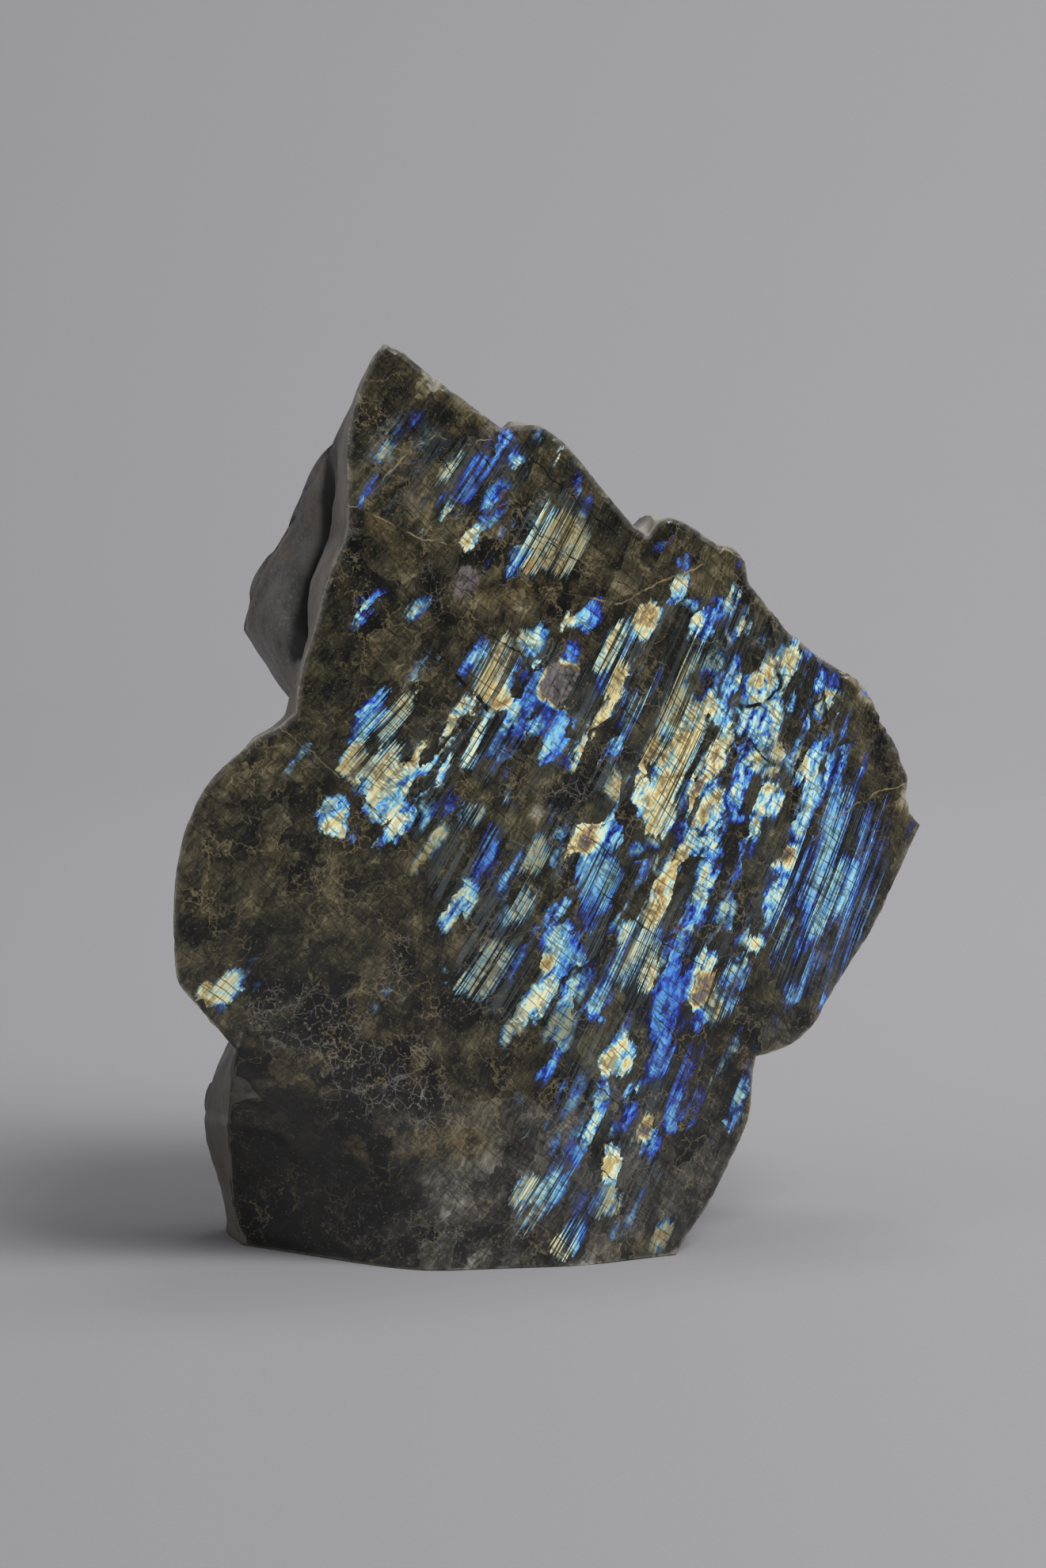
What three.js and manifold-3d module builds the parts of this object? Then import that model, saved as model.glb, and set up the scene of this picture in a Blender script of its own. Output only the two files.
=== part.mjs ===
// Free-standing labradorite stone: one natural block with a polished front face, ground sides,
// a rounded back and a sawn flat foot.
// Units are millimetres. +Z is up, the viewer looks along +Y, and the origin is under the middle
// of the stone's box, on the surface that it stands on.
import * as THREE from 'three';
import Module from 'manifold-3d';
import { mergeVertices } from 'three/addons/utils/BufferGeometryUtils.js';
import { TessellateModifier } from 'three/addons/modifiers/TessellateModifier.js';
import { ImprovedNoise } from 'three/addons/math/ImprovedNoise.js';

// How the polished face stands
const faceTurn = THREE.MathUtils.degToRad(18);
const faceLean = THREE.MathUtils.degToRad(6);

// The longest facet edges on the polished face and on the back, and the spacing of the points
// round the rim
const faceEdge = 14.5;
const backEdge = 27;
const rimStep = 10.5;

// The middle of the outline, which the side walls and the back are built around
const heart = new THREE.Vector2(60, 205);

// The back is ground in broad facets. Each faces away from the heart in this direction, in degrees
// anticlockwise from the right, starts this far from the heart and falls forward at this slope.
const backDepth = 152;
const backFacets = [
  [97, 96, 0.76],
  [70, 84, 0.72],
  [40, 84, 0.6],
  [0, 108, 0.46],
  [330, 92, 0.5],
  [302, 120, 0.3],
  [225, 122, 0.3],
  [185, 92, 0.42],
  [136, 112, 0.36],
];
const backRounding = 5;

// How far in from its edge the back takes to reach those facets, as a share of the way to the heart
const backBlend = 0.3;

// The lower left of the face is ground away as a facet that falls back this much for each
// millimetre to the left, and meets the face in a crease this soft.
const facetSlope = 1.28;
const creaseSoftness = 8;
const creaseFoot = -6;
const creaseReach = 94;
const creaseTop = 116;
const creasePower = 2.2;

// The foot of the face swells forward to the right of the crease
const swell = 9;
const swellMiddle = 77;
const swellWidth = 40;
const swellHeight = 110;

// Unevenness of the stone: how high and how long each kind is, and the layer of the noise that it
// is read from. The face has gentle waves left by hand lapping, the sides have lumps that reach
// their full height this far behind the rim, and the back has broader ones.
const noiseStart = new THREE.Vector3(11.3, 4.7, 7.9);
const lapWave = { height: 1.1, length: 85, layer: 0 };
const sideLump = { height: 2.4, length: 38, behindRim: 20 };
const backLump = { height: 4, length: 55, layer: 40 };
const rimChip = { height: 0.5, length: 9, layer: 3 };

// The ridges down the right side drift off a straight line, where the wall faces right by more
// than this share
const rightDrift = { height: 20, length: 62, layer: 80, from: 0.4 };

// The sawn foot is cut by a block of this size, and points closer than the weld are one point
const sawWidth = 1200;
const sawDepth = 200;
const weld = 1e-3;
const mostSplits = 24;

// The rim of the polished face in its own plane: millimetres to the right and up from the
// front corner of the foot, anticlockwise. Each run is a smooth curve, and runs meet in a corner.
const rimRuns = [
  // left edge of the tip, and the shoulder that steps out below it
  [[-9, 462], [-14, 457], [-23, 438], [-29, 417], [-30, 392], [-31, 368]],
  [[-31, 368], [-42, 346], [-49, 322], [-57, 303], [-60.5, 281]],
  [[-60.5, 281], [-68, 274.5], [-79, 269.5]],
  // round lobe on the left, and its underside
  [[-79, 269.5], [-103, 251], [-118, 226], [-125, 190], [-125.5, 165], [-125, 151]],
  [[-125, 151], [-114, 138], [-95, 116]],
  // lobe at the lower left, and the foot, which the saw cut trims
  [[-95, 116], [-96, 106], [-90.5, 90], [-84, 60], [-78, 25], [-70, -14]],
  [[-70, -14], [25, -17], [122, -14]],
  // right edge up to the notch
  [[122, -14], [131, 4], [146, 22], [160, 45], [172, 68], [173, 84], [176, 98]],
  // right lobe with its broken crust
  [[176, 98], [192, 101], [208, 112], [222, 133], [243, 161], [257, 187], [270, 212]],
  [[270, 212], [266, 219], [262.5, 227]],
  [[262.5, 227], [264.5, 237], [259, 252], [251, 266]],
  [[251, 266], [245, 279], [238, 289], [217, 300]],
  [[217, 300], [198, 318], [179.5, 340]],
  // second bump from the top
  [[179.5, 340], [179, 350], [172, 358]],
  [[172, 358], [162, 360], [151, 368]],
  [[151, 368], [140, 374], [131, 371]],
  [[131, 371], [126, 364.5], [119.5, 368.5]],
  // first bump, and the ridge up to the tip
  [[119.5, 368.5], [104, 387], [89, 406.5], [73, 420], [62, 421], [50, 420]],
  [[50, 420], [30, 435], [10, 449.5], [0, 459], [-9, 462]],
];

// Sections through the side wall. Each starts with its direction in degrees from the heart of the
// outline, anticlockwise from the right, followed by five points from the rim to the edge of the
// back: depth behind the face and how far it stands out past the rim.
const sections = [
  [2, [10, 1], [35, 3], [60, 5], [80, 2], [98, -6]],
  [14, [8, 2], [28, 5], [50, 7], [70, 4], [88, -4]],
  [26, [8, 1], [25, 4], [45, 5], [62, 2], [78, -5]],
  [45, [8, 1], [22, 2], [38, 2], [55, 0], [70, -5]],
  [58, [6, 0], [18, 1], [32, 2], [48, 0], [62, -6]],
  [65, [6, 0], [16, 2], [30, 4], [44, 2], [58, -4]],
  [68.3, [5, 3], [12, 8], [24, 9], [40, 5], [55, -3]],
  [70.8, [5, -1], [12, -3], [24, -4], [38, -5], [54, -8]],
  [79, [6, 0], [18, 0], [32, 0], [45, -3], [56, -8]],
  [87, [5, 1], [14, 3], [26, 4], [38, 2], [50, -5]],
  [90.5, [5, 2], [12, 5], [24, 5], [36, 1], [46, -8]],
  [92.8, [5, -1], [12, -4], [22, -6], [32, -7], [43, -10]],
  [98, [4, 0], [9, 0], [14, -2], [20, -5], [27, -9]],
  [105, [2, 0], [4, 0], [6, -1], [9, -2], [13, -5]],
  [109.6, [4, 0], [8, 0], [12, 0], [16, -1], [24, -5]],
  // the deep groove, and the lobe behind it
  [112.8, [14, 0], [27, -2], [32, -1], [36, 0], [49, -5]],
  [114.3, [24, 0], [40, -7], [46, -2], [54, 1], [72, -3]],
  [116.5, [32, 0], [50, -9], [58, -1], [80, 4], [108, -1]],
  [119.5, [38, 0], [55, -10], [64, 2], [94, 9], [126, 3]],
  [125, [38, 0], [54, -10], [64, 5], [98, 13], [134, 3]],
  [131, [32, 0], [47, -9], [58, 6], [98, 16], [136, 4]],
  [134.5, [20, 0], [31, -8], [44, 5], [94, 15], [134, 2]],
  [136.6, [16, 0], [26, -7], [38, 2], [78, 5], [121, -9]],
  [138.3, [12, 0], [19, -6], [32, -2], [62, -7], [107, -22]],
  [139.8, [8, 0], [14, -4], [26, -6], [54, -14], [98, -30]],
  [141.5, [9, 0], [17, -4], [30, -8], [56, -18], [95, -34]],
  // the narrow wall below it
  [144, [18, 0], [29, -2], [42, -9], [62, -17], [95, -31]],
  [149, [22, 0], [35, -2], [47, -8], [64, -17], [95, -30]],
  [154, [16, 0], [28, -1], [44, -7], [64, -14], [95, -28]],
  // left lobe, undercut
  [157, [6, -1], [20, -5], [40, -12], [64, -18], [98, -30]],
  [170, [7, -1], [24, -6], [48, -13], [76, -21], [108, -32]],
  [184, [8, 0], [26, -5], [50, -12], [80, -21], [115, -32]],
  [190, [6, -2], [24, -7], [48, -14], [78, -22], [113, -33]],
  [208, [6, -2], [22, -8], [48, -17], [78, -25], [112, -36]],
  // the deep notch under it
  [210.4, [6, -3], [20, -9], [44, -18], [76, -28], [112, -39]],
  [212.4, [10, -1], [30, -7], [56, -15], [84, -26], [116, -37]],
  // lower left lobe and the foot
  [214.6, [12, 0], [34, -4], [60, -8], [88, -15], [120, -27]],
  [217.4, [12, 0], [34, 0], [60, -1], [94, -4], [122, -13]],
  [223, [12, 0], [32, 2], [60, 4], [98, 4], [128, -5]],
  [232, [10, 0], [30, 0], [60, 1], [98, 0], [132, -7]],
  [270, [10, 0], [40, 0], [80, 0], [115, -3], [142, -9]],
  [300, [8, 1], [32, 2], [64, 1], [98, -3], [130, -9]],
  [314, [8, 1], [30, 2], [56, 1], [84, -3], [114, -10]],
  [317.3, [8, -2], [26, -5], [50, -7], [76, -9], [104, -15]],
  [322, [8, 0], [26, 0], [50, -1], [76, -4], [102, -10]],
  [342, [8, 0], [28, 2], [54, 2], [80, -1], [104, -8]],
];

// Where along a section the rings of the side wall lie
const sideRings = [0.1, 0.22, 0.32, 0.4, 0.5, 0.62, 0.8, 1];

const grain = new ImprovedNoise();

// Height of one kind of unevenness at a place, and the same for a flat slice through it
function uneven({ height, length }, x, y, z) {
  const at = new THREE.Vector3(x, y, z).divideScalar(length).add(noiseStart);
  return height * grain.noise(at.x, at.y, at.z);
}

function unevenSlice(kind, u, w) {
  return uneven(kind, u, kind.layer, w);
}

// Zero for what is well below zero and the value itself for what is well above, with a soft bend
function softRamp(value) {
  return Math.max(value, 0) + Math.log1p(Math.exp(-Math.abs(value)));
}

// Depth of the polished face behind its plane
function faceDepth(u, w) {
  const creaseRise = Math.max(w, 0) / creaseTop;
  const crease = creaseFoot - creaseReach * creaseRise ** creasePower;
  const facet = facetSlope * creaseSoftness * softRamp((crease - u) / creaseSoftness);
  const belly = swell * Math.exp(-(((u - swellMiddle) / swellWidth) ** 2))
    * Math.exp(-((w / swellHeight) ** 2));
  return facet - belly + unevenSlice(lapWave, u, w);
}

// Depth of the back behind the plane of the face, rounded where its facets meet
function backAt(u, w) {
  const away = new THREE.Vector2(u, w).sub(heart);
  let sum = 1;
  for (const [degrees, start, slope] of backFacets) {
    const angle = THREE.MathUtils.degToRad(degrees);
    const past = away.x * Math.cos(angle) + away.y * Math.sin(angle) - start;
    sum += Math.exp(slope * past / backRounding);
  }
  return backDepth - backRounding * Math.log(sum) + unevenSlice(backLump, u, w);
}

// Points round the rim, evenly spaced on each run, with the small unevenness of a ground edge
function rimPoints() {
  const points = [];
  for (const run of rimRuns) {
    const curve = new THREE.SplineCurve(run.map(([u, w]) => new THREE.Vector2(u, w)));
    const pieces = Math.ceil(curve.getLength() / rimStep);
    for (const point of curve.getSpacedPoints(pieces).slice(0, -1)) {
      const out = point.clone().sub(heart).normalize();
      point.addScaledVector(out, unevenSlice(rimChip, point.x, point.y));
      points.push(new THREE.Vector2(Math.fround(point.x), Math.fround(point.y)));
    }
  }
  return points;
}

// The section of the side wall in one direction, blended from its two neighbours
function sectionAt(degrees) {
  const last = sections.length - 1;
  let after = sections.findIndex((section) => section[0] > degrees);
  if (after < 0) after = 0;
  const before = after === 0 ? last : after - 1;
  const from = sections[before];
  const to = sections[after];
  const span = (to[0] - from[0] + 360) % 360;
  const share = ((degrees - from[0] + 360) % 360) / span;
  const blend = THREE.MathUtils.smoothstep(share, 0, 1);
  return from.slice(1).map(([depth, out], i) => new THREE.Vector2(
    THREE.MathUtils.lerp(depth, to[i + 1][0], blend),
    THREE.MathUtils.lerp(out, to[i + 1][1], blend),
  ));
}

// One column of points down the side wall, from a rim point to the edge of the back
function column(rim) {
  const outward = rim.clone().sub(heart).normalize();
  const degrees = (THREE.MathUtils.radToDeg(outward.angle()) + 360) % 360;
  const section = sectionAt(degrees);
  const rimDepth = faceDepth(rim.x, rim.y);
  const edgeDepth = section[section.length - 1].x;
  const wall = new THREE.SplineCurve([new THREE.Vector2(0, 0), ...section]);
  const points = [new THREE.Vector3(rim.x, rimDepth, rim.y)];
  const around = new THREE.Vector2(-outward.y, outward.x);
  const drift = THREE.MathUtils.smoothstep(outward.x, rightDrift.from, 1)
    * unevenSlice(rightDrift, rim.x, rim.y);
  for (const t of sideRings) {
    const { x: down, y: out } = wall.getPoint(t);
    const depth = rimDepth + (edgeDepth - rimDepth) * (down / edgeDepth);
    const lump = Math.min(down / sideLump.behindRim, 1) * uneven(sideLump, rim.x, depth, rim.y);
    const side = rim.clone().addScaledVector(outward, out + lump)
      .addScaledVector(around, drift * t);
    points.push(new THREE.Vector3(Math.fround(side.x), depth, Math.fround(side.y)));
  }
  return points;
}

// A loop of points in the plane of the face, filled with even triangles at the given depths
function filled(loop, longestEdge, depthAt) {
  const flat = new THREE.ShapeGeometry(new THREE.Shape(loop)).toNonIndexed();
  const fine = new TessellateModifier(longestEdge, mostSplits).modify(flat);
  const position = fine.getAttribute('position');
  const points = [];
  for (let i = 0; i < position.count; i += 1) {
    const u = position.getX(i);
    const w = position.getY(i);
    points.push(new THREE.Vector3(u, depthAt(u, w), w));
  }
  return points;
}

// Depth of the back, which runs from the depth of its own edge to the ground facets
function backFrom(edge) {
  const away = edge.map(({ x, z }) => new THREE.Vector2(x, z).sub(heart));
  return (u, w) => {
    const here = new THREE.Vector2(u, w).sub(heart);
    const i = away.findIndex((from, k) => {
      const to = away[(k + 1) % away.length];
      return from.cross(here) >= 0 && here.cross(to) > 0 && from.dot(here) > 0;
    });
    if (i < 0) return backAt(u, w);
    const next = (i + 1) % edge.length;
    const across = here.cross(away[i]) / (here.cross(away[i]) - here.cross(away[next]));
    const reach = away[i].clone().lerp(away[next], across).length();
    const edgeDepth = THREE.MathUtils.lerp(edge[i].y, edge[next].y, across);
    const inward = Math.max(1 - here.length() / reach, 0);
    const share = Math.sin(Math.min(inward / backBlend, 1) * Math.PI / 2);
    return THREE.MathUtils.lerp(edgeDepth, backAt(u, w), share);
  };
}

// The skin of the block as loose triangles: the polished face, the side wall and the back
function skin() {
  const rim = rimPoints();
  const columns = rim.map(column);
  const edge = columns.map((points) => points[points.length - 1]);
  const backLoop = edge.map(({ x, z }) => new THREE.Vector2(x, z));
  const corners = filled(rim, faceEdge, faceDepth);
  columns.forEach((here, i) => {
    const next = columns[(i + 1) % columns.length];
    for (let j = 0; j < here.length - 1; j += 1) {
      corners.push(here[j], here[j + 1], next[j]);
      corners.push(next[j], here[j + 1], next[j + 1]);
    }
  });
  corners.push(...filled(backLoop, backEdge, backFrom(edge)).reverse());
  return corners;
}

function manifoldFrom(geometry, wasm) {
  const bare = geometry.clone();
  bare.deleteAttribute('normal');
  bare.deleteAttribute('uv');
  const merged = mergeVertices(bare, weld);
  return new wasm.Manifold(new wasm.Mesh({
    numProp: 3,
    vertProperties: new Float32Array(merged.getAttribute('position').array),
    triVerts: new Uint32Array(merged.getIndex().array),
  }));
}

// The whole block, stood up as it rests, with its foot sawn flat
async function stoneGeometry() {
  const wasm = await Module();
  wasm.setup();
  const block = new THREE.BufferGeometry().setFromPoints(skin());
  block.rotateX(-faceLean);
  block.rotateZ(faceTurn);
  const sawn = new THREE.BoxGeometry(sawWidth, sawWidth, sawDepth).translate(0, 0, -sawDepth / 2);
  const { vertProperties, triVerts } = manifoldFrom(block, wasm)
    .subtract(manifoldFrom(sawn, wasm)).getMesh();
  const stone = new THREE.BufferGeometry();
  stone.setAttribute('position', new THREE.BufferAttribute(vertProperties, 3));
  stone.setIndex(new THREE.BufferAttribute(triVerts, 1));
  stone.computeBoundingBox();
  const middle = stone.boundingBox.getCenter(new THREE.Vector3());
  stone.translate(-middle.x, -middle.y, 0);
  stone.computeVertexNormals();
  return stone;
}

const labradorite = new THREE.MeshStandardMaterial({
  name: 'labradorite',
  color: 0x4a4a44,
  roughness: 0.3,
  metalness: 0,
});

const sculpture = new THREE.Group();
const stone = new THREE.Mesh(await stoneGeometry(), labradorite);
stone.name = 'labradorite_stone';
sculpture.add(stone);

export default sculpture;
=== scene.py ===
"""Looks of a free-standing labradorite stone with a polished front face that flashes blue and gold."""
import math

import bmesh
import bpy
import numpy as np
from mathutils import Euler, Matrix, Vector, noise
from mathutils.kdtree import KDTree


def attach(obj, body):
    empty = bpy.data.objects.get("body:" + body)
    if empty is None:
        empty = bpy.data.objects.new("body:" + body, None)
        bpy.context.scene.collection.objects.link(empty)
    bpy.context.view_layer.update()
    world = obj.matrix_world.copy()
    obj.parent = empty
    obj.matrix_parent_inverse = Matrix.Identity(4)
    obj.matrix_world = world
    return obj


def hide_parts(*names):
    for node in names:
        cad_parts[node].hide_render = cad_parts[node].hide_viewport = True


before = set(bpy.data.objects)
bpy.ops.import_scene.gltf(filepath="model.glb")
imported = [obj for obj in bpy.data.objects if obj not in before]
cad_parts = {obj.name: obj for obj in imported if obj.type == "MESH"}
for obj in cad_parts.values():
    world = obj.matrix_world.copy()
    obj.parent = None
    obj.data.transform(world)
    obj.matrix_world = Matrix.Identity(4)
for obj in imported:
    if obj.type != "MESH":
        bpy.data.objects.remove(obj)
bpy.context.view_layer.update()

# The camera
# It stands 2.2 m in front of the stone and a little above it, with a long portrait lens. The
# polished face is turned 18 degrees away from it, so the ground left side shows as well.
mm = 0.001
camera_target = Vector((-14.5, -32.1, 237.7)) * mm
camera_distance = 2200 * mm
camera_rise = math.radians(7)
portrait_lens = bpy.data.cameras.new("portrait_lens")
portrait_lens.lens = 100
portrait_lens.sensor_width = 36
portrait_lens.clip_end = 60
camera = bpy.data.objects.new("camera", portrait_lens)
camera.location = camera_target + camera_distance * Vector(
    (0, -math.cos(camera_rise), math.sin(camera_rise)))
camera.rotation_euler = (math.radians(90) - camera_rise, 0, 0)
bpy.context.scene.collection.objects.link(camera)
bpy.context.scene.camera = camera
bpy.context.scene.view_settings.view_transform = "Standard"


# The studio floor
# Grey background paper, laid flat under the stone and swept up all round it with no corner, so
# there is no horizon. The paper has a faint grain.
def linear(colour):
    """An sRGB hex colour as linear red, green, blue and alpha."""
    parts = [int(colour[i:i + 2], 16) / 255 for i in (1, 3, 5)]
    return [c / 12.92 if c <= 0.04045 else ((c + 0.055) / 1.055) ** 2.4 for c in parts] + [1]


def add(material, kind, links=None, **settings):
    """Adds a node. links maps its inputs to a value, or to another node's output."""
    nodes = material.node_tree.nodes
    node = nodes.new(kind)
    for name, value in settings.items():
        setattr(node, name, value)
    for name, value in (links or {}).items():
        if isinstance(value, bpy.types.NodeSocket):
            material.node_tree.links.new(value, node.inputs[name])
        else:
            node.inputs[name].default_value = value
    return node


def new_material(name):
    material = bpy.data.materials.new(name)
    material.use_nodes = True
    material.node_tree.nodes.clear()
    return material


# Matt coated paper: very even, with a grain of about 2 mm that barely shows
paper = new_material("matt_background_paper")
paper_grey = linear("#979698")
paper_shade = linear("#919092")
where = add(paper, "ShaderNodeTexCoord")
grain = add(paper, "ShaderNodeTexNoise", {"Vector": where.outputs["Object"], "Scale": 1 / (2 * mm)})
tint = add(paper, "ShaderNodeMix", {"Factor": grain.outputs["Fac"], "A": paper_grey, "B": paper_shade},
           data_type="RGBA")
surface = add(paper, "ShaderNodeBsdfPrincipled", {
    "Base Color": tint.outputs["Result"], "Roughness": 0.9, "Specular IOR Level": 0.1})
add(paper, "ShaderNodeOutputMaterial", {"Surface": surface.outputs["BSDF"]})

flat_radius = 2.0
sweep_radius = 3.0
wall_height = 3.5
paper_mesh = bmesh.new()
profile = [Vector((0, 0, 0)), Vector((1.2, 0, 0)), Vector((flat_radius, 0, 0))]
for step in range(1, 13):
    turn = math.radians(90 * step / 12)
    profile.append(Vector((flat_radius + sweep_radius * math.sin(turn), 0,
                           sweep_radius * (1 - math.cos(turn)))))
profile.append(Vector((flat_radius + sweep_radius, 0, wall_height)))
line = [paper_mesh.verts.new(point - Vector((0, 0, 0.2 * mm))) for point in profile]
edges = [paper_mesh.edges.new(pair) for pair in zip(line, line[1:])]
bmesh.ops.spin(paper_mesh, geom=line + edges, cent=(0, 0, 0), axis=(0, 0, 1),
               angle=math.radians(360), steps=96, use_merge=True)
bmesh.ops.remove_doubles(paper_mesh, verts=paper_mesh.verts, dist=0.1 * mm)
bmesh.ops.recalc_face_normals(paper_mesh, faces=paper_mesh.faces)
for face in paper_mesh.faces:
    face.smooth = True
paper_sweep = bpy.data.objects.new("background_paper", bpy.data.meshes.new("background_paper"))
paper_mesh.to_mesh(paper_sweep.data)
paper_mesh.free()
paper_sweep.data.materials.append(paper)
bpy.context.scene.collection.objects.link(paper_sweep)

# The lights
# Large soft boxes: the main one high on the right, a weaker one low on the left, and one overhead
# that lights the paper. The polished face mirrors none of them into the camera.
for name, place, aim, size, watts in (
        ("soft_box_right", (1.5, -1.3, 2.5), (0, 0, 0.2), 1.5, 105),
        ("soft_box_left", (-2.3, -1.1, 1.2), (0, 0, 0.2), 1.4, 10),
        ("soft_box_behind", (0.9, 1.2, 3.4), (0.6, 4.8, 1.2), 2.4, 135)):
    box = bpy.data.lights.new(name, "AREA")
    box.size = size
    box.energy = watts
    lamp = bpy.data.objects.new(name, box)
    lamp.location = place
    lamp.rotation_euler = (Vector(aim) - Vector(place)).to_track_quat("-Z", "Y").to_euler()
    bpy.context.scene.collection.objects.link(lamp)
studio_air = bpy.data.worlds.new("studio_air")
studio_air.use_nodes = True
studio_air.node_tree.nodes["Background"].inputs["Color"].default_value = linear("#8c8c90")
studio_air.node_tree.nodes["Background"].inputs["Strength"].default_value = 0.8
bpy.context.scene.world = studio_air

# The stone's shape
# One natural block of labradorite. Its front was cut and lapped to a nearly flat polished face,
# its sides and back were ground by hand over their own lumps, and its foot was sawn flat.
face_corner = Vector((-60.0, -92.1, 0)) * mm
face_turn = Euler((math.radians(-6), 0, math.radians(18)))
face_right = face_turn.to_matrix() @ Vector((1, 0, 0))
face_back = face_turn.to_matrix() @ Vector((0, 1, 0))
face_up = face_turn.to_matrix() @ Vector((0, 0, 1))

block = bmesh.new()
block.from_mesh(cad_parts["labradorite_stone"].data)
bmesh.ops.remove_doubles(block, verts=block.verts, dist=0.01 * mm)
block.faces.ensure_lookup_table()

# The polished face grows from its middle over every bend softer than this, as far as it still
# faces this much to the front
softest_corner = math.radians(32)
least_front = 0.45
start = min(block.faces, key=lambda f: (f.calc_center_median() - face_corner
                                        - 60 * mm * face_right - 205 * mm * face_up).length)
polished = {start}
edge_of_growth = [start]
while edge_of_growth:
    here = edge_of_growth.pop()
    for edge in here.edges:
        for there in edge.link_faces:
            if there in polished or there.normal.dot(-face_back) < least_front:
                continue
            if edge.calc_face_angle(0) < softest_corner:
                polished.add(there)
                edge_of_growth.append(there)
for face in block.faces:
    face.material_index = int(face in polished)
flat_edges = [e for e in block.edges if all(f in polished for f in e.link_faces)]
bmesh.ops.beautify_fill(block, faces=list(polished), edges=flat_edges, method="ANGLE")
polished = {f for f in block.faces if f.material_index}
for face in block.faces:
    face.material_index = 0
sole = {f for f in block.faces if f.normal.z < -0.999}
crease = block.edges.layers.float.new("crease_edge")
for edge in block.edges:
    sides = sum(f in polished for f in edge.link_faces)
    soles = sum(f in sole for f in edge.link_faces)
    if sides == 1:
        edge[crease] = min(1, edge.calc_face_angle(0) / math.radians(60))
    if soles == 1:
        edge[crease] = 1
    if not sides and not soles and edge.link_faces[0] not in polished:
        edge[crease] = min(1, max(0, edge.calc_face_angle(0) - math.radians(25)) / math.radians(35))
inner = [v for v in block.verts if all(f in polished for f in v.link_faces)]
behind = [v for v in block.verts if all(f.normal.dot(face_back) > 0.3 for f in v.link_faces)]
face_frame = Matrix.LocRotScale(face_corner, face_turn, None)
bmesh.ops.transform(block, matrix=face_frame.inverted(), verts=block.verts)
for _ in range(3):
    bmesh.ops.smooth_vert(block, verts=inner, factor=0.5, use_axis_y=True)
    bmesh.ops.smooth_vert(block, verts=behind, factor=0.5, use_axis_y=True)
bmesh.ops.transform(block, matrix=face_frame, verts=block.verts)
ground_zone = block.verts.layers.float.new("ground")
for vertex in block.verts:
    on_face = [f in polished for f in vertex.link_faces]
    vertex[ground_zone] = 0 if all(on_face) else 0.5 if any(on_face) else 1

stone = bpy.data.objects.new("labradorite_block", bpy.data.meshes.new("labradorite_block"))
block.to_mesh(stone.data)
block.free()
bpy.context.scene.collection.objects.link(stone)
rounding = stone.modifiers.new("rounding", "SUBSURF")
rounding.levels = 2
rounding.render_levels = 2
rounded = bpy.data.meshes.new_from_object(stone.evaluated_get(bpy.context.evaluated_depsgraph_get()))
stone.modifiers.clear()
stone.data = rounded
for polygon in stone.data.polygons:
    polygon.use_smooth = True

# The skin of the ground sides
# They keep the lumps and pits of the raw stone. A deep crevice runs down the upper left side in
# front of the rear lobe, and the rim of the polished face is chipped all round.
spots = np.array([v.co for v in stone.data.vertices])
normals = np.array([v.normal for v in stone.data.vertices])
ground_share = np.array([v.value for v in stone.data.attributes["ground"].data])
rim = np.flatnonzero(np.abs(ground_share - 0.5) < 0.01)
rim_tree = KDTree(len(rim))
for number in rim:
    rim_tree.insert(spots[number], int(number))
rim_tree.balance()
from_rim = np.array([rim_tree.find(spot)[2] for spot in spots]) / mm


def bumps(size, octaves=3):
    """Smooth noise from 0 to 1 at every point, its lumps about this many millimetres wide."""
    heights = [noise.fractal(Vector(spot) / (size * mm), 1, 2, octaves) for spot in spots]
    return np.clip(np.array(heights) * 0.6 + 0.5, 0, 1)


in_face = np.stack([(spots - face_corner) @ axis / mm for axis in (face_right, face_back, face_up)], 1)
crevice = np.array([(-17, 36, 424), (-21, 46, 408), (-25, 54, 388), (-26, 54, 364), (-29, 55, 355),
                    (-33, 55, 346), (-36, 53, 337), (-39, 50, 328), (-43, 46, 318), (-48, 38, 310)])
from_crevice = np.full(len(spots), 99.0)
for low, high in zip(crevice, crevice[1:]):
    step = high - low
    along = np.clip((in_face - low) @ step / (step @ step), 0, 1)
    away = np.linalg.norm(in_face - low - along[:, None] * step, axis=1)
    from_crevice = np.minimum(from_crevice, away)
# How close each point lies to the crevice: it carves the crevice below and, through the zones attribute, paints its
# shade
in_crevice = np.exp(-(from_crevice / 6) ** 2)
grounded = np.clip((ground_share - 0.5) * 2, 0, 1)
above_sole = np.clip(spots[:, 2] / (6 * mm), 0, 1)
scallops = 1 - np.array([noise.voronoi(Vector(spot) / (42 * mm))[0][0] for spot in spots])
sink = 1.5 * scallops + 1.2 * bumps(24) + 0.5 * bumps(8) + 0.15 * bumps(3, 2)
sink *= grounded * above_sole * np.clip(from_rim / 12 + 0.1, 0, 1)
chips = np.clip(bumps(4, 2) - 0.5, 0, 1) * 1.6 + np.clip(bumps(14, 2) - 0.55, 0, 1) * 2.5
crust = 1 + 2 * np.clip((in_face[:, 0] - 195) / 20, 0, 1) * np.clip((in_face[:, 2] - 130) / 60, 0, 1)
sink += crust * chips * np.clip(1 - from_rim / 3.5, 0, 1) * above_sole
spots -= normals * (sink * mm)[:, None]
spots += np.array(face_right * 10 + face_back * 2) * mm * (in_crevice * grounded)[:, None]
stone.data.vertices.foreach_set("co", spots.ravel())
stone.data.update()

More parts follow.
